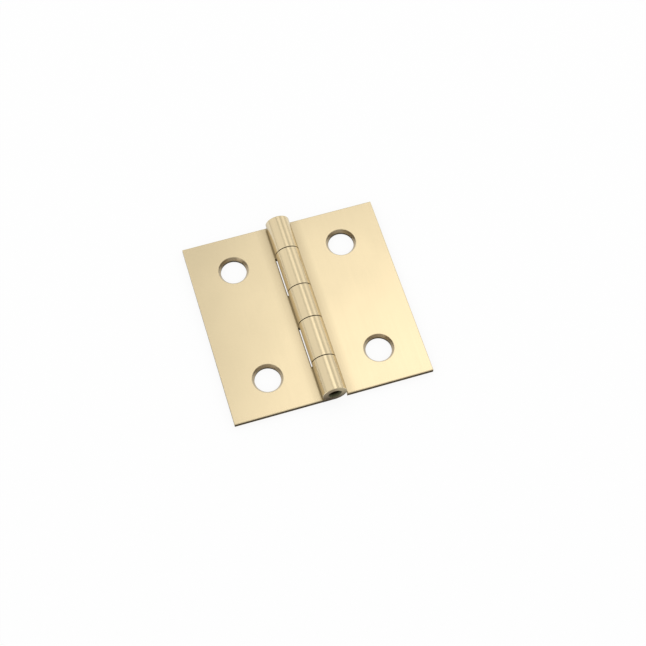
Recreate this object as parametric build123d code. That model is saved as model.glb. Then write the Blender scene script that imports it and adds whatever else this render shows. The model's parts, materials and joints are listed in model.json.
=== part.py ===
"""Square butt hinge with five rolled knuckles on a fixed pin, in millimetres.

The hinge lies open on its mounting face, z = 0. The pin axis runs along Y at half the
barrel's height, the three-knuckle leaf points to -X and the two-knuckle leaf to +X.
"""
from build123d import *

import os

# Leaves
leaf_length = 50.8
leaf_reach = 25.4  # pin axis to the free edge of a leaf
leaf_thickness = 1.5
edge_round = 0.2  # tumbled edge round the outline of a leaf

# Barrel, curled from the same sheet as the leaves
barrel_diameter = 6.2
outer_knuckle_length = 9.44  # each of the three knuckles of one leaf
knuckle_gap = 0.12  # end play between neighbouring knuckles
slot_clearance = 0.43  # round barrel to the near corner of the slot beside it
seam_gap = 0.1  # free end of the curl to the face of its own leaf
knuckle_edge_break = 0.08

# Pin
pin_running_clearance = 0.05  # radial, in the two knuckles that turn on the pin
pin_recess = 1.5  # pin end below the end of the barrel
pin_end_chamfer = 0.3

# Screw holes, two in each leaf
hole_diameter = 6.6
hole_from_axis = 14.35
hole_spacing = 31.6
sink_diameter = 7.7
sink_depth = 0.85

# Worked out from the sizes above
barrel_radius = barrel_diameter / 2
curl_bore_radius = barrel_radius - leaf_thickness
pin_radius = curl_bore_radius
reamed_bore_radius = pin_radius + pin_running_clearance
axis_above_leaf = barrel_radius - leaf_thickness
slot_edge = ((barrel_radius + slot_clearance) ** 2 - axis_above_leaf**2) ** 0.5
inner_knuckle_length = (leaf_length - 3 * outer_knuckle_length - 4 * knuckle_gap) / 2
knuckle_pitch = (outer_knuckle_length + inner_knuckle_length) / 2 + knuckle_gap
outer_knuckle_centres = [-2 * knuckle_pitch, 0, 2 * knuckle_pitch]
inner_knuckle_centres = [-knuckle_pitch, knuckle_pitch]
position_tolerance = 1e-4  # when an edge is looked up by where it lies


def curled_sheet():
    """Flat sheet of one leaf, towards -X, that runs under the pin and curls up and over it
    into a full-length barrel, still without its bore."""
    flat = Pos(-leaf_reach / 2, leaf_thickness / 2) * Rectangle(leaf_reach, leaf_thickness)
    curl = Pos(0, barrel_radius) * Circle(barrel_radius)
    return extrude(Plane.XZ * (flat + curl), leaf_length / 2, both=True)


def knuckle_slot(centre, knuckle_length):
    """Room in a leaf for one knuckle of the other leaf, open past the barrel."""
    slot_width = knuckle_length + 2 * knuckle_gap
    slot_reach = slot_edge + barrel_radius
    middle_x = barrel_radius - slot_reach / 2
    return Pos(middle_x, centre, barrel_radius) * Box(slot_reach, slot_width, barrel_diameter)


def bore_and_seam(bore_radius):
    """Bore for the pin, and the slit where the curl comes back down to its own leaf."""
    bore = Cylinder(bore_radius, leaf_length, rotation=(90, 0, 0))
    seam = Box(barrel_radius, leaf_length, seam_gap)
    seam_height = leaf_thickness + seam_gap / 2
    return Pos(0, 0, barrel_radius) * bore + Pos(-barrel_radius / 2, 0, seam_height) * seam


def screw_hole():
    """Countersunk hole along Z, cut from the face on the barrel's side."""
    upward = (Align.CENTER, Align.CENTER, Align.MIN)
    through = Cylinder(hole_diameter / 2, leaf_thickness, align=upward)
    sink = Cone(hole_diameter / 2, sink_diameter / 2, sink_depth, align=upward)
    return through + Pos(0, 0, leaf_thickness - sink_depth) * sink


def lies_at(edge, axis_name, value):
    """True where an edge lies wholly in the plane that stands at value on the named axis."""
    box = edge.bounding_box()
    low = getattr(box.min, axis_name)
    high = getattr(box.max, axis_name)
    return abs(low - value) < position_tolerance and abs(high - value) < position_tolerance


def outline_edges(sheet):
    """Edges round the sheet on both faces: its free edge, its ends and barrel ends, and the
    sides of its slots."""
    chosen = []
    for edge in sheet.edges():
        on_face = lies_at(edge, "Z", 0) or lies_at(edge, "Z", leaf_thickness)
        along = lies_at(edge, "X", -leaf_reach) or lies_at(edge, "X", -slot_edge)
        at_end = lies_at(edge, "Y", -leaf_length / 2) or lies_at(edge, "Y", leaf_length / 2)
        upright = edge.geom_type == GeomType.LINE and not on_face
        if (on_face and along) or (at_end and not upright):
            chosen.append(edge)
    return chosen


def knuckle_rims(sheet):
    """Curved edges of the barrel where one knuckle faces the next."""
    inside_ends = leaf_length / 2 - edge_round - position_tolerance
    rims = []
    for edge in sheet.edges().filter_by(GeomType.CIRCLE):
        on_barrel = abs(edge.radius - barrel_radius) < position_tolerance
        if on_barrel and abs(edge.center().Y) < inside_ends:
            rims.append(edge)
    return rims


def leaf(bore_radius, other_knuckle_length, other_knuckle_centres):
    """One leaf, towards -X, with its knuckles, slots and screw holes."""
    body = curled_sheet()
    for centre in other_knuckle_centres:
        body -= knuckle_slot(centre, other_knuckle_length)
    body = fillet(outline_edges(body), edge_round)
    body = chamfer(knuckle_rims(body), knuckle_edge_break)
    body -= bore_and_seam(bore_radius)
    for end in (-1, 1):
        body -= Pos(-hole_from_axis, end * hole_spacing / 2) * screw_hole()
    return body


def hinge_pin():
    """Plain pin, a tight fit in the three-knuckle leaf and short of both barrel ends."""
    pin = Cylinder(pin_radius, leaf_length - 2 * pin_recess, rotation=(90, 0, 0))
    pin = chamfer(pin.edges().filter_by(GeomType.CIRCLE), pin_end_chamfer)
    return Pos(0, 0, barrel_radius) * pin


three_knuckle_leaf = leaf(curl_bore_radius, inner_knuckle_length, inner_knuckle_centres)
two_knuckle_leaf = Rot(Z=180) * leaf(
    reamed_bore_radius, outer_knuckle_length, outer_knuckle_centres
)

os.makedirs("parts", exist_ok=True)
export_step(three_knuckle_leaf, "parts/three_knuckle_leaf.step")
export_step(two_knuckle_leaf, "parts/two_knuckle_leaf.step")
export_step(hinge_pin(), "parts/hinge_pin.step")
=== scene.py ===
"""Satin brass butt hinge with curled knuckles, open flat on a white table. Lengths are metres."""

from collections import namedtuple
import json
import math

import bpy
from bpy.props import FloatProperty, FloatVectorProperty, PointerProperty
from mathutils import Euler, Matrix, Vector


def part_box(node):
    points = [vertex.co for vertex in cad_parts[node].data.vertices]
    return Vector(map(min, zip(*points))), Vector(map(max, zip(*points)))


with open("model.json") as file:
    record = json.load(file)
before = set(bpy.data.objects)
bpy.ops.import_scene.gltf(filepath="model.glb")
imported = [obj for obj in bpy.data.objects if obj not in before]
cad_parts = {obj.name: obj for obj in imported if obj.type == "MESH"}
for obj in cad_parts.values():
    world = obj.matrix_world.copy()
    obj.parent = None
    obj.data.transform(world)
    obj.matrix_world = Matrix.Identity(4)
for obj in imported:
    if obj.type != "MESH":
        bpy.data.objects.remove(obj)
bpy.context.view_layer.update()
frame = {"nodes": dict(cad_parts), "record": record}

bl_info = {
    "name": "Curled Butt Hinge",
    "version": (1, 0, 0),
    "blender": (4, 5, 0),
    "location": "View3D > Sidebar > Hinge",
    "description": "Finishes a curled brass butt hinge and sets it in a plain white studio",
    "category": "Object",
}

MILLIMETRE = 0.001
HAIR = 0.02 * MILLIMETRE  # slack that tells one surface from the next
LEAF_NODES = ("three_knuckle_leaf", "two_knuckle_leaf")
PIN_NODE = "hinge_pin"

# Zones of a leaf. Of two limits, a tone starts at the first and is full at the second
# Limits in barrel radii, measured from the mounting face or from the pin axis
FLANK_REFLECTION_HEIGHTS = (1.71, 1.52)
LOW_BARREL_SHADE_HEIGHTS = (1.66, 1.06)
CREVICE_INNER_LIMITS = (0.75, 0.85)
CREVICE_TOP = 0.95
BARREL_END_HEIGHTS = (0.1, 1.6)
SHADED_SIDE_LIMITS = (0.45, -0.25)
SHADED_LIP_HEIGHTS = (0.8, 1.2)
# Shares of a rounded or broken edge, where cut metal ends on it
EDGE_CUT_WIDTH = 1 / 3  # outer share of a leaf's rounded edge that is cut metal
EDGE_SATIN_HEIGHT = 0.8  # upper share of its rounding at the face that stays satin
RIM_SATIN_WIDTH = 1 / 3  # outer share of a knuckle's broken edge that stays satin
# Limits in thicknesses of the sheet, measured from the mounting face
UPPER_FACE_HEIGHTS = (0.3, 0.7)
CUT_BAND_HEIGHTS = (0.62, 0.72)
# Limits in metres: above the sheet, out from the barrel, a hole or the pin, or into the bore
BARREL_FOOT_HEIGHTS = (2 * HAIR, 12 * HAIR)
BARREL_SHADE_LIMITS = (3.4 * MILLIMETRE, -0.1 * MILLIMETRE)
CREVICE_OUTER_LIMITS = (0.42 * MILLIMETRE, 0.08 * MILLIMETRE)
DARK_RIM_WIDTH = 0.12 * MILLIMETRE
SHADED_LIP_WIDTH = 0.18 * MILLIMETRE
BORE_SLACK = 5 * HAIR
DEEP_BORE_LIMITS = (0.3 * MILLIMETRE, 1.1 * MILLIMETRE)

# Grain of the surfaces, in grains for each metre along x, y and z
CLOUDS = (60.0, 60.0, 60.0)
TEARS = (2500.0, 2500.0, 400.0)
TURNING_RINGS = (300.0, 300.0, 9000.0)
GRIT = (4000.0, 4000.0, 4000.0)
PIN_BLOTCHES = (900.0, 900.0, 900.0)
PIN_GRIT = (3000.0, 3000.0, 3000.0)
GRIT_SHARE = 0.15  # of the grit beside the draw lines, in the leaves' bump
GRAIN_DEPTH = 0.02 * MILLIMETRE

# Studio
DOME_RADIUS = 0.7  # from the hinge to each lamp
Softbox = namedtuple("Softbox", "lean far width depth")  # as add_softbox takes them
SOFTBOXES = {
    "key": Softbox(lean=math.radians(14.5), far=0.164, width=0.25, depth=0.62),
    "overhead": Softbox(lean=math.radians(12.5), far=0.085, width=0.41, depth=0.49),
    "right": Softbox(lean=math.radians(61), far=0.35, width=0.31, depth=0.50),
    "left": Softbox(lean=math.radians(-43), far=0.35, width=0.78, depth=0.50),
    "low": Softbox(lean=math.radians(-84), far=-0.45, width=0.16, depth=0.55),
}
TABLE_HALF = 5.0
TABLE_LEVEL = -HAIR  # just under the hinge
TABLE_GLOW = 1.02  # how bright the open table shows, where 1 is white
SENSOR_WIDTH = 36.0  # millimetres, as the lens is
NEAREST_SEEN = 0.01


def screw_mount():
    """The record's screw pattern of one leaf. The other leaf's is its mirror image."""
    for mount in frame["record"]["mounts"]:
        if mount["kind"] == "bolt_pattern":
            return mount
    raise RuntimeError("the record states no screw pattern")


leaf_low, leaf_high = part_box(LEAF_NODES[0])
pin_low, pin_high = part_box(PIN_NODE)
screws = screw_mount()


def length(name, description, default):
    """A size in metres, as a property of a group."""
    return FloatProperty(name=name, description=description, default=default, unit="LENGTH", precision=5)


def share(name, description, default):
    """A number from 0 to 1, as a property of a group."""
    return FloatProperty(
        name=name, description=description, default=default, min=0.0, max=1.0, subtype="FACTOR"
    )


def colour(name, description, default):
    """A linear colour, as a property of a group."""
    return FloatVectorProperty(
        name=name, description=description, default=default, subtype="COLOR", size=3, min=0.0, max=1.0
    )


def power(name, description, default):
    """How bright a lamp looks, where 1 shows as white, as a property of a group."""
    return FloatProperty(name=name, description=description, default=default, min=0.0)


class HingeSizes(bpy.types.PropertyGroup):
    """Sizes that the finish follows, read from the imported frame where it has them"""

    leaf_reach: length("Leaf reach", "From the pin axis to the free edge of a leaf", -leaf_low.x)
    leaf_length: length("Leaf length", "Length of a leaf along the pin", leaf_high.y - leaf_low.y)
    leaf_thickness: length("Sheet thickness", "Thickness of the sheet", 1.5 * MILLIMETRE)
    edge_round: length("Edge round", "Radius of the tumbled edges", 0.2 * MILLIMETRE)
    barrel_radius: length(
        "Barrel radius", "Outside radius of the knuckles", (leaf_high.z - leaf_low.z) / 2
    )
    pin_radius: length("Pin radius", "Radius of the pin", (pin_high.z - pin_low.z) / 2)
    rim_break: length("Knuckle rim", "Width of the broken edge of a knuckle", 0.08 * MILLIMETRE)
    slot_edge: length("Slot edge", "From the pin axis to the long side of a slot", 3.147 * MILLIMETRE)
    hole_from_axis: length(
        "Hole from axis", "From the pin axis to the middle of a hole", abs(screws["pos_m"][0])
    )
    hole_spacing: length(
        "Hole spacing",
        "Between the two screw holes of a leaf",
        screws["dims"]["spacing_y_mm"] * MILLIMETRE,
    )
    sink_radius: length("Countersink radius", "Radius at the face of the leaf", 3.85 * MILLIMETRE)
    sink_depth: length("Countersink depth", "Depth below the face of the leaf", 0.85 * MILLIMETRE)


class HingeFinish(bpy.types.PropertyGroup):
    """Colours and grain of the brass"""

    brass: colour("Satin brass", "Lacquered brass of the faces and the barrel", (0.80, 0.665, 0.425))
    cloudiness: share("Cloudiness", "How far the clouds in the brass are paler or darker", 0.025)
    # Painted shade on a leaf beside the barrel, and how strong it is
    barrel_shade: colour(
        "Sheltered brass", "What dulls the brass of a leaf beside the barrel", (0.76, 0.75, 0.74)
    )
    barrel_shade_strength: share("Shelter strength", "How much the brass beside the barrel is dulled", 0.9)
    # Painted reflection: greyer brass round the barrel's sides
    bend: colour("Bend", "Paler brass round the sides of the barrel", (0.785, 0.675, 0.47))
    # Painted shade: duller brass low on the barrel
    low_barrel_shade: colour("Fold", "Duller brass low on the barrel", (0.48, 0.408, 0.28))
    # Painted shade: the dark line in the crevice, and how strong it is
    crevice_shade: colour("Crevice", "Dark line where the barrel comes down to its leaf", (0.13, 0.09, 0.02))
    crevice_shade_strength: share("Crevice strength", "How dark the line beside the barrel is", 0.37)
    # Tarnished cut metal, painted much darker as shade
    sheared_and_shade: colour("Sheared edge", "Dull cut edge round each leaf", (0.075, 0.056, 0.030))
    # Turned metal, painted darker as shade in the hole
    shaded_countersink: colour("Countersink", "Turned cone of a screw hole", (0.46, 0.375, 0.25))
    # Painted shade on the straight wall of a hole
    hole_wall_shade: colour("Hole wall", "Straight wall of a hole below its countersink", (0.08, 0.063, 0.04))
    # A slightly darker ring just round each countersink
    hole_rim_tone: colour("Hole rim", "What dulls the brass just round a countersink", (0.80, 0.81, 0.81))
    barrel_end_top: colour("Barrel end, top", "Cut end of the barrel, at its top", (0.50, 0.43, 0.28))
    # Painted shade on the barrel's cut end: dark at its foot and duller on the seam's side
    barrel_end_foot_shade: colour("Barrel end, foot", "Cut end of the barrel, at its foot", (0.12, 0.095, 0.065))
    barrel_end_side_shade: colour(
        "Barrel end, side", "What dulls the barrel end on the seam's side", (0.63, 0.59, 0.585)
    )
    bore: colour("Bore", "Inside of the barrel near its ends", (0.23, 0.23, 0.14))
    # Painted shade deep in the bore, between the knuckles and on the lip round the bore
    gap_shade: colour(
        "Grime", "Old grease deeper in the bore and between the knuckles", (0.03, 0.020, 0.009)
    )
    tarnish: share("Tarnish", "How far tarnish hides the metal where it was cut", 0.8)
    pin: colour("Pin", "Drawn wire of the pin", (0.28, 0.27, 0.16))
    roughness: share("Roughness", "Roughness of the satin brass", 0.25)
    roughness_range: share("Roughness range", "How far a draw line changes the roughness", 0.04)
    pin_roughness: share("Pin roughness", "Roughness of the pin", 0.45)
    line_tone: colour("Draw line", "What dulls the barrel in a draw line", (0.82, 0.80, 0.76))
    line_width: length("Line width", "Usual width of one draw line along the barrel", 0.2 * MILLIMETRE)
    line_length: length("Line length", "Usual length of one draw line", 24 * MILLIMETRE)
    line_strength: share("Line strength", "How much the draw lines darken the barrel", 0.25)


class HingeStudio(bpy.types.PropertyGroup):
    """Camera, lamps and table"""

    camera_place: FloatVectorProperty(
        name="Camera place",
        description="Where the camera stands",
        default=(-0.04507, -0.15840, 0.31746),
        subtype="TRANSLATION",
        size=3,
        precision=5,
    )
    camera_turn: FloatVectorProperty(
        name="Camera turn",
        description="Turn of the camera from looking straight down",
        default=(math.radians(26.939), math.radians(-0.233), math.radians(-16.996)),
        subtype="EULER",
        size=3,
    )
    lens: FloatProperty(
        name="Lens",
        description="Focal length in millimetres on a 36 mm wide image",
        default=78.87,
        min=1.0,
        subtype="DISTANCE_CAMERA",
    )
    table_colour: colour("Table", "Colour of the table", (0.90, 0.90, 0.90))
    shadow: share("Shadow", "How dark the table turns where no light reaches it", 0.15)
    room: power("Room light", "Even light from all round", 0.67)
    key: power("Key light", "Softbox over the barrel's right side", 0.64)
    overhead: power("Overhead light", "Wide softbox nearer the camera", 0.29)
    right: power("Right light", "Low softbox on the right", 0.46)
    left: power("Left light", "Wide softbox on the left", 0.31)
    low: power("Low light", "Long softbox near the table, in front on the left", 1.0)


class NodeBench:
    """Adds shader nodes to an emptied tree and joins them."""

    def __init__(self, tree):
        self.tree = tree
        tree.nodes.clear()

    def add(self, kind, inputs=None, **settings):
        """A node of that kind. inputs maps a socket's name or number to a value or a socket."""
        node = self.tree.nodes.new(kind)
        for name, value in settings.items():
            setattr(node, name, value)
        for key, value in (inputs or {}).items():
            self.plug(node.inputs[key], value)
        return node

    def plug(self, socket, value):
        """Joins another node's socket to this one, or sets this one to a plain value."""
        if isinstance(value, bpy.types.NodeSocket):
            self.tree.links.new(value, socket)
        else:
            socket.default_value = value

    def math(self, operation, first, second=0.0):
        """One step of arithmetic. A step that needs only one number ignores the second."""
        return self.add("ShaderNodeMath", {0: first, 1: second}, operation=operation).outputs[0]

    def times(self, first, *others):
        """The product. Of masks from 0 to 1, that is where they all hold."""
        for other in others:
            first = self.math("MULTIPLY", first, other)
        return first

    def either(self, first, second):
        """The larger one. Of masks from 0 to 1, that is where one or both hold."""
        return self.math("MAXIMUM", first, second)

    def below(self, value, limit):
        """1 where the value is under the limit, else 0."""
        return self.math("LESS_THAN", value, limit)

    def above(self, value, limit):
        """1 where the value is over the limit, else 0."""
        return self.math("GREATER_THAN", value, limit)

    def rise(self, value, low, high):
        """0 up to low, 1 from high, smooth between. With low over high it falls instead."""
        node = self.add(
            "ShaderNodeMapRange",
            {"Value": value, "From Min": low, "From Max": high},
            interpolation_type="SMOOTHSTEP",
        )
        return node.outputs["Result"]

    def distance(self, first, second):
        """Length of the vector whose two sides are given."""
        square = self.math("ADD", self.times(first, first), self.times(second, second))
        return self.math("SQRT", square)

    def blend(self, factor, first, second, blend_type="MIX"):
        """first where factor is 0 and second, or their product, where it is 1."""
        node = self.add("ShaderNodeMix", data_type="RGBA", blend_type=blend_type)
        # The colour sockets share their names with the node's others, so they go by number
        for number, value in ((0, factor), (6, first), (7, second)):
            self.plug(node.inputs[number], value)
        return node.outputs[2]

    def dull(self, factor, base, tint):
        """base multiplied by a tint, as far as factor says."""
        return self.blend(factor, base, rgba(tint), "MULTIPLY")

    def grain(self, place, per_metre, detail=2.0):
        """Noise from 0 to 1 with about so many grains for each metre along x, y and z."""
        stretched = self.add("ShaderNodeMapping", {"Vector": place, "Scale": per_metre})
        noise = self.add(
            "ShaderNodeTexNoise",
            {"Vector": stretched.outputs["Vector"], "Scale": 1.0, "Detail": detail},
        )
        return noise.outputs["Fac"]

    def mottle(self, grain, dark, pale, spread):
        """dark to pale as the grain goes from spread below its middle to spread above it."""
        return self.blend(self.rise(grain, 0.5 - spread, 0.5 + spread), dark, pale)

    def finish_metal(self, base, metallic, roughness, specular, grain, bump_strength):
        """Ends the tree in a metal of that base colour, with a bump from that grain."""
        bump = self.add(
            "ShaderNodeBump", {"Strength": bump_strength, "Distance": GRAIN_DEPTH, "Height": grain}
        )
        shader = self.add(
            "ShaderNodeBsdfPrincipled",
            {
                "Base Color": base,
                "Metallic": metallic,
                "Roughness": roughness,
                "Specular IOR Level": specular,
                "Normal": bump.outputs["Normal"],
            },
        )
        self.add("ShaderNodeOutputMaterial", {"Surface": shader.outputs[0]})


def rgba(colour_value, strength=1.0):
    """A colour with its alpha, made darker or paler by strength."""
    return (*[min(1.0, part * strength) for part in colour_value], 1.0)


def scaled(limits, unit):
    """Both limits of a zone, given in that unit."""
    return [limit * unit for limit in limits]


def shifted(limits, start):
    """Both limits of a zone, measured from start."""
    return [start + limit for limit in limits]


def new_material(name):
    """An empty material and the bench for its nodes."""
    material = bpy.data.materials.new(name)
    material.use_nodes = True
    return material, NodeBench(material.node_tree)


class LeafZones:
    """Masks from 0 to 1 that find each zone of a leaf from where it lies on the hinge.

    The hinge is the same left and right, and near and far, so sizes from the middle outwards
    serve both leaves and both ends.
    """

    def __init__(self, bench, sizes):
        self.bench = bench
        self.sizes = sizes
        self.place = bench.add("ShaderNodeTexCoord").outputs["Object"]
        split = bench.add("ShaderNodeSeparateXYZ", {0: self.place}).outputs
        self.rightward = split["X"]
        self.height = split["Z"]
        self.across = bench.math("ABSOLUTE", split["X"])
        self.along = bench.math("ABSOLUTE", split["Y"])
        above_pin = bench.math("SUBTRACT", self.height, sizes.barrel_radius)
        self.from_pin = bench.distance(self.across, above_pin)
        self.from_hole = bench.distance(
            bench.math("SUBTRACT", self.across, sizes.hole_from_axis),
            bench.math("SUBTRACT", self.along, sizes.hole_spacing / 2),
        )
        self.leaf_end = sizes.leaf_length / 2
        foot = shifted(BARREL_FOOT_HEIGHTS, sizes.leaf_thickness)
        self.on_barrel = bench.rise(self.height, *foot)
        self.off_barrel = bench.rise(self.height, *reversed(foot))
        upper_face_limits = scaled(UPPER_FACE_HEIGHTS, sizes.leaf_thickness)
        self.on_upper_face = bench.rise(self.height, *upper_face_limits)
        self.between_faces = bench.times(
            bench.above(self.height, HAIR), bench.below(self.height, sizes.leaf_thickness - HAIR)
        )
        self.between_ends = bench.below(self.along, self.leaf_end - sizes.edge_round)

    def beside_barrel(self):
        """The face of a leaf next to the barrel, where shade is painted."""
        reach = shifted(BARREL_SHADE_LIMITS, self.sizes.barrel_radius)
        near = self.bench.rise(self.across, *reach)
        return self.bench.times(near, self.off_barrel, self.on_upper_face)

    def barrel_side(self, heights):
        """Both sides of the barrel, from the first of two heights down to the second and below."""
        limits = scaled(heights, self.sizes.barrel_radius)
        return self.bench.times(self.on_barrel, self.bench.rise(self.height, *limits))

    def crevice_shade(self):
        """The line where the barrel comes down to a leaf, with a little of both, where shade is painted.
        """
        radius = self.sizes.barrel_radius
        return self.bench.times(
            self.bench.rise(self.across, *shifted(CREVICE_OUTER_LIMITS, radius)),
            self.bench.rise(self.across, *scaled(CREVICE_INNER_LIMITS, radius)),
            self.bench.rise(self.height, CREVICE_TOP * radius, self.sizes.leaf_thickness),
            self.on_upper_face,
        )

    def hole_rim(self):
        """The face of a leaf just round a countersink."""
        rim = self.bench.below(self.from_hole, self.sizes.sink_radius + DARK_RIM_WIDTH)
        return self.bench.times(rim, self.on_upper_face)

    def sheared_edge(self):
        """The cut edge round a leaf, and the ends of its slots."""
        sizes = self.sizes
        inset = EDGE_CUT_WIDTH * sizes.edge_round
        outline = self.bench.times(
            self.bench.either(
                self.bench.above(self.across, sizes.leaf_reach - inset),
                self.bench.above(self.along, self.leaf_end - inset),
            ),
            self.bench.above(self.height, sizes.edge_round),
            self.bench.below(self.height, sizes.leaf_thickness - EDGE_SATIN_HEIGHT * sizes.edge_round),
        )
        slot_end = self.bench.times(
            self.bench.below(self.across, sizes.slot_edge - HAIR),
            self.bench.above(self.from_pin, sizes.barrel_radius + HAIR),
            self.between_faces,
        )
        return self.bench.either(outline, slot_end)

    def hole(self):
        """The countersink and the straight wall below it."""
        inside = self.bench.below(self.from_hole, self.sizes.sink_radius - HAIR)
        return self.bench.times(inside, self.between_faces)

    def hole_wall(self):
        """The straight wall below the countersink."""
        sink_foot = self.sizes.leaf_thickness - self.sizes.sink_depth
        return self.bench.times(self.hole(), self.bench.below(self.height, sink_foot))

    def knuckle_end(self):
        """The ends of the knuckles. Between the ends of the leaf it takes in their broken edges."""
        radius = self.sizes.barrel_radius
        rim_break = self.sizes.rim_break
        face = self.bench.below(self.from_pin, radius - rim_break - HAIR)
        face_and_rim = self.bench.below(self.from_pin, radius - RIM_SATIN_WIDTH * rim_break)
        return self.bench.either(face, self.bench.times(self.between_ends, face_and_rim))

    def shaded_gaps(self):
        """The knuckle ends that face each other, and the top of the lip round the bore, where shade is
        painted.
        """
        lip = self.bench.times(
            self.bench.below(self.from_pin, self.sizes.pin_radius + SHADED_LIP_WIDTH),
            self.bench.rise(self.height, *scaled(SHADED_LIP_HEIGHTS, self.sizes.barrel_radius)),
        )
        return self.bench.either(self.between_ends, lip)

    def bore(self):
        """The inside of the barrel."""
        return self.bench.times(
            self.bench.below(self.from_pin, self.sizes.pin_radius + BORE_SLACK),
            self.bench.below(self.along, self.leaf_end - HAIR),
        )

    def deep_bore(self):
        """How deep in the bore a place is, from just inside the barrel's end."""
        limits = [self.leaf_end - depth for depth in DEEP_BORE_LIMITS]
        return self.bench.rise(self.along, *limits)


def satin_brass(zones, finish, lines):
    """Satin brass, slightly cloudy, with draw lines along the barrel. Shade is painted into it beside the
    barrel, low on the barrel and in the crevice, and a painted reflection greys the barrel's sides. Round
    each hole it is a little darker."""
    bench = zones.bench
    brass = bench.mottle(
        bench.grain(zones.place, CLOUDS, detail=3.0),
        rgba(finish.brass, 1 - finish.cloudiness),
        rgba(finish.brass, 1 + finish.cloudiness),
        spread=0.2,
    )
    line_tone = bench.mottle(lines, rgba(finish.line_tone), (1.0, 1.0, 1.0, 1.0), spread=0.25)
    on_lines = bench.times(zones.on_barrel, finish.line_strength)
    brass = bench.blend(on_lines, brass, line_tone, "MULTIPLY")
    # Painted shade: darker, greyer brass on the leaf beside the barrel
    barrel_shade = bench.times(zones.beside_barrel(), finish.barrel_shade_strength)
    brass = bench.dull(barrel_shade, brass, finish.barrel_shade)
    # Painted reflection: greyer brass round the barrel's sides
    brass = bench.blend(zones.barrel_side(FLANK_REFLECTION_HEIGHTS), brass, rgba(finish.bend))
    # Painted shade: duller brass low on the barrel
    brass = bench.blend(zones.barrel_side(LOW_BARREL_SHADE_HEIGHTS), brass, rgba(finish.low_barrel_shade))
    # Painted shade: a dark line in the crevice where the barrel meets its leaf
    crevice_shade = bench.times(zones.crevice_shade(), finish.crevice_shade_strength)
    brass = bench.blend(crevice_shade, brass, rgba(finish.crevice_shade))
    # A slightly darker ring just round each countersink
    return bench.dull(zones.hole_rim(), brass, finish.hole_rim_tone)


def sheared_metal(zones, finish):
    """Cut edge of the sheet, its tarnished metal painted dark as shade: torn for most of its height, with
    a paler, smoother band at its top.
    """
    bench = zones.bench
    torn = bench.mottle(
        bench.grain(zones.place, TEARS, detail=4.0),
        rgba(finish.sheared_and_shade, strength=0.6),
        rgba(finish.sheared_and_shade, strength=1.3),
        spread=0.15,
    )
    cut_band = bench.rise(zones.height, *scaled(CUT_BAND_HEIGHTS, zones.sizes.leaf_thickness))
    return bench.blend(cut_band, torn, rgba(finish.sheared_and_shade, strength=1.5))


def turned_metal(zones, finish):
    """Cone of a countersink, painted darker as shade in the hole, with the faint rings that the tool left.
    """
    rings = zones.bench.grain(zones.place, TURNING_RINGS, detail=3.0)
    return zones.bench.blend(rings, rgba(finish.shaded_countersink, strength=0.9), rgba(finish.shaded_countersink, strength=1.1))


def knuckle_end_metal(zones, finish):
    """Cut ends of the knuckles, with painted shade towards the foot, on the seam's side, on the facing
    ends and on the lip round the bore.
    """
    bench = zones.bench
    radius = zones.sizes.barrel_radius
    metal = bench.blend(
        bench.rise(zones.height, *scaled(BARREL_END_HEIGHTS, radius)),
        rgba(finish.barrel_end_foot_shade),
        rgba(finish.barrel_end_top),
    )
    # Painted shade on the seam's side of the barrel end
    shaded_side = bench.rise(zones.rightward, *scaled(SHADED_SIDE_LIMITS, radius))
    metal = bench.dull(shaded_side, metal, finish.barrel_end_side_shade)
    # Painted shade on the facing knuckle ends and the lip round the bore
    return bench.blend(zones.shaded_gaps(), metal, rgba(finish.gap_shade))


def bore_metal(zones, finish):
    """Inside of the barrel, with shade painted darker with depth."""
    return zones.bench.blend(zones.deep_bore(), rgba(finish.bore), rgba(finish.gap_shade))


def leaf_material(sizes, finish):
    """Satin brass of both leaves, with painted shade, dark cut edges, turned countersinks and cut barrel
    ends.
    """
    material, bench = new_material("leaf_satin_brass")
    zones = LeafZones(bench, sizes)
    draw_lines = (1 / finish.line_width, 1 / finish.line_length, 1 / finish.line_width)
    lines = bench.grain(zones.place, draw_lines, detail=4.0)
    sheared_edge = zones.sheared_edge()
    hole_wall = zones.hole_wall()
    knuckle_end = zones.knuckle_end()

    base = satin_brass(zones, finish, lines)
    base = bench.blend(zones.hole(), base, turned_metal(zones, finish))
    # Painted shade: a near-black straight wall in each hole
    base = bench.blend(hole_wall, base, rgba(finish.hole_wall_shade))
    base = bench.blend(sheared_edge, base, sheared_metal(zones, finish))
    base = bench.blend(knuckle_end, base, knuckle_end_metal(zones, finish))
    base = bench.blend(zones.bore(), base, bore_metal(zones, finish))

    cut = bench.either(bench.either(sheared_edge, hole_wall), knuckle_end)
    metallic = bench.math("SUBTRACT", 1.0, bench.times(cut, finish.tarnish))
    roughness = bench.add(
        "ShaderNodeMapRange",
        {
            "Value": lines,
            "To Min": finish.roughness - finish.roughness_range,
            "To Max": finish.roughness + finish.roughness_range,
        },
    )
    fine_grit = bench.times(bench.grain(zones.place, GRIT), GRIT_SHARE)
    bench.finish_metal(
        base,
        metallic=metallic,
        roughness=roughness.outputs["Result"],
        specular=0.0,
        grain=bench.math("ADD", lines, fine_grit),
        bump_strength=0.1,
    )
    return material


def pin_material(finish):
    """Dark drawn wire, blotched by handling."""
    material, bench = new_material("pin_drawn_brass")
    place = bench.add("ShaderNodeTexCoord").outputs["Object"]
    base = bench.mottle(
        bench.grain(place, PIN_BLOTCHES, detail=3.0),
        rgba(finish.pin, strength=0.75),
        rgba(finish.pin, strength=1.3),
        spread=0.2,
    )
    bench.finish_metal(
        base,
        metallic=1.0,
        roughness=finish.pin_roughness,
        specular=0.5,
        grain=bench.grain(place, PIN_GRIT),
        bump_strength=0.2,
    )
    return material


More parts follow.
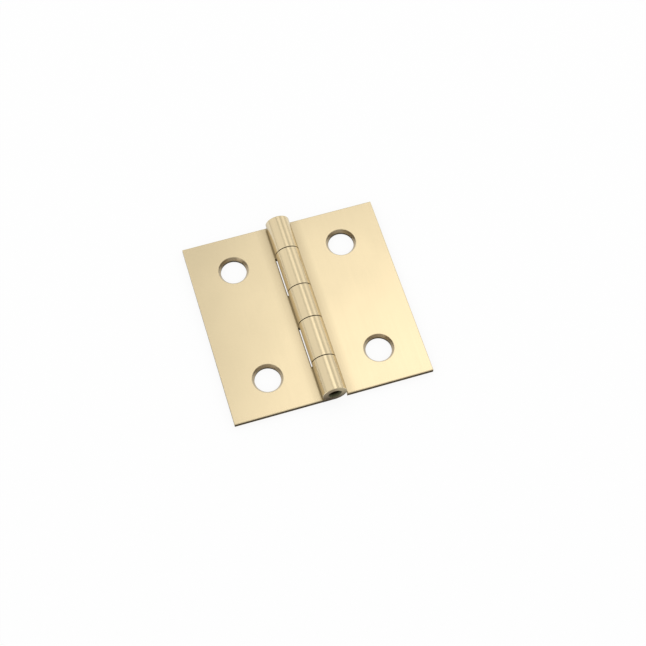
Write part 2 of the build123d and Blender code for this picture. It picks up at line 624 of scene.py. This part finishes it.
def dress(node_name, material):
    """Gives a carried-over node its finish in every material slot."""
    for slot in frame["nodes"][node_name].material_slots:
        slot.material = material


class HINGE_OT_finish_leaves(bpy.types.Operator):
    """Finish both leaves in satin brass"""

    bl_idname = "hinge.finish_leaves"
    bl_label = "Finish Leaves"

    def execute(self, context):
        scene = context.scene
        material = leaf_material(scene.hinge_sizes, scene.hinge_finish)
        for name in LEAF_NODES:
            dress(name, material)
        return {"FINISHED"}


class HINGE_OT_finish_pin(bpy.types.Operator):
    """Finish the pin as dark drawn wire"""

    bl_idname = "hinge.finish_pin"
    bl_label = "Finish Pin"

    def execute(self, context):
        dress(PIN_NODE, pin_material(context.scene.hinge_finish))
        return {"FINISHED"}


def table_material(studio):
    """White to the camera and in reflections, with the hinge's soft shadow. The light that it
    throws back on the hinge is that of a plain pale table."""
    material, bench = new_material("white_table")
    ray = bench.add("ShaderNodeLightPath").outputs
    seen = bench.either(ray["Is Camera Ray"], ray["Is Glossy Ray"])
    seen = bench.either(seen, ray["Is Transmission Ray"])
    lit = bench.add("ShaderNodeBsdfDiffuse", {"Color": rgba(studio.table_colour)})
    faint = bench.add("ShaderNodeBsdfDiffuse", {"Color": rgba([studio.shadow] * 3)})
    glow = bench.add("ShaderNodeEmission", {"Strength": TABLE_GLOW - studio.shadow})
    white = bench.add("ShaderNodeAddShader", {0: faint.outputs[0], 1: glow.outputs[0]})
    surface = bench.add("ShaderNodeMixShader", {0: seen, 1: lit.outputs[0], 2: white.outputs[0]})
    bench.add("ShaderNodeOutputMaterial", {"Surface": surface.outputs[0]})
    return material


def add_table(studio):
    """A wide flat table, just under the hinge."""
    corners = [
        (x * TABLE_HALF, y * TABLE_HALF, TABLE_LEVEL) for x, y in ((-1, -1), (1, -1), (1, 1), (-1, 1))
    ]
    mesh = bpy.data.meshes.new("table")
    mesh.from_pydata(corners, [], [(0, 1, 2, 3)])
    mesh.materials.append(table_material(studio))
    table = bpy.data.objects.new("table", mesh)
    bpy.context.scene.collection.objects.link(table)


def add_softbox(name, box, strength):
    """A rectangular lamp on a dome round the hinge, its depth along the pin. lean is its angle
    from overhead towards +X, and far the share of the way to the dome's far side, +Y."""
    across = math.sqrt(1 - box.far * box.far)
    away = Vector((math.sin(box.lean) * across, box.far, math.cos(box.lean) * across))
    side = Vector((0, 1, 0)).cross(away).normalized()
    data = bpy.data.lights.new(name, "AREA")
    data.shape = "RECTANGLE"
    data.size = box.width
    data.size_y = box.depth
    data.energy = strength * math.pi * box.width * box.depth
    lamp = bpy.data.objects.new(name, data)
    turn = Matrix((side, away.cross(side), away)).transposed()
    lamp.matrix_world = Matrix.Translation(away * DOME_RADIUS) @ turn.to_4x4()
    bpy.context.scene.collection.objects.link(lamp)


def add_room(studio):
    """Even pale light from all round, and the softboxes."""
    world = bpy.data.worlds.new("studio_room")
    bpy.context.scene.world = world
    world.use_nodes = True
    bench = NodeBench(world.node_tree)
    even = bench.add("ShaderNodeBackground", {"Color": (1, 1, 1, 1), "Strength": studio.room})
    bench.add("ShaderNodeOutputWorld", {"Surface": even.outputs[0]})
    for name, box in SOFTBOXES.items():
        add_softbox(name, box, getattr(studio, name))


def add_camera(studio):
    """The camera, where the photograph was taken from."""
    data = bpy.data.cameras.new("camera")
    data.lens = studio.lens
    data.sensor_width = SENSOR_WIDTH
    data.clip_start = NEAREST_SEEN
    camera = bpy.data.objects.new("camera", data)
    camera.location = studio.camera_place
    camera.rotation_euler = Euler(studio.camera_turn, "XYZ")
    bpy.context.scene.collection.objects.link(camera)
    bpy.context.scene.camera = camera


class HINGE_OT_set_studio(bpy.types.Operator):
    """Set the hinge on a white table under soft light, with the camera"""

    bl_idname = "hinge.set_studio"
    bl_label = "Set Studio"

    def execute(self, context):
        studio = context.scene.hinge_studio
        add_table(studio)
        add_room(studio)
        add_camera(studio)
        context.scene.view_settings.view_transform = "Standard"
        return {"FINISHED"}


class HINGE_PT_panel(bpy.types.Panel):
    """Sizes, finish and studio of the hinge"""

    bl_idname = "HINGE_PT_panel"
    bl_label = "Hinge"
    bl_space_type = "VIEW_3D"
    bl_region_type = "UI"
    bl_category = "Hinge"

    def draw(self, context):
        for group_name in GROUPS:
            group = getattr(context.scene, group_name)
            box = self.layout.box()
            for name in type(group).__annotations__:
                box.prop(group, name)
        for operator in OPERATORS:
            self.layout.operator(operator.bl_idname)


GROUPS = {
    "hinge_sizes": HingeSizes,
    "hinge_finish": HingeFinish,
    "hinge_studio": HingeStudio,
}
OPERATORS = (HINGE_OT_finish_leaves, HINGE_OT_finish_pin, HINGE_OT_set_studio)
CLASSES = (*GROUPS.values(), *OPERATORS, HINGE_PT_panel)


def register():
    for cls in CLASSES:
        bpy.utils.register_class(cls)
    for name, group in GROUPS.items():
        setattr(bpy.types.Scene, name, PointerProperty(type=group))


def unregister():
    for name in GROUPS:
        delattr(bpy.types.Scene, name)
    for cls in reversed(CLASSES):
        bpy.utils.unregister_class(cls)


def main():
    register()
    bpy.ops.hinge.finish_leaves()
    bpy.ops.hinge.finish_pin()
    bpy.ops.hinge.set_studio()
    bpy.context.view_layer.update()


if __name__ == "__main__":
    main()
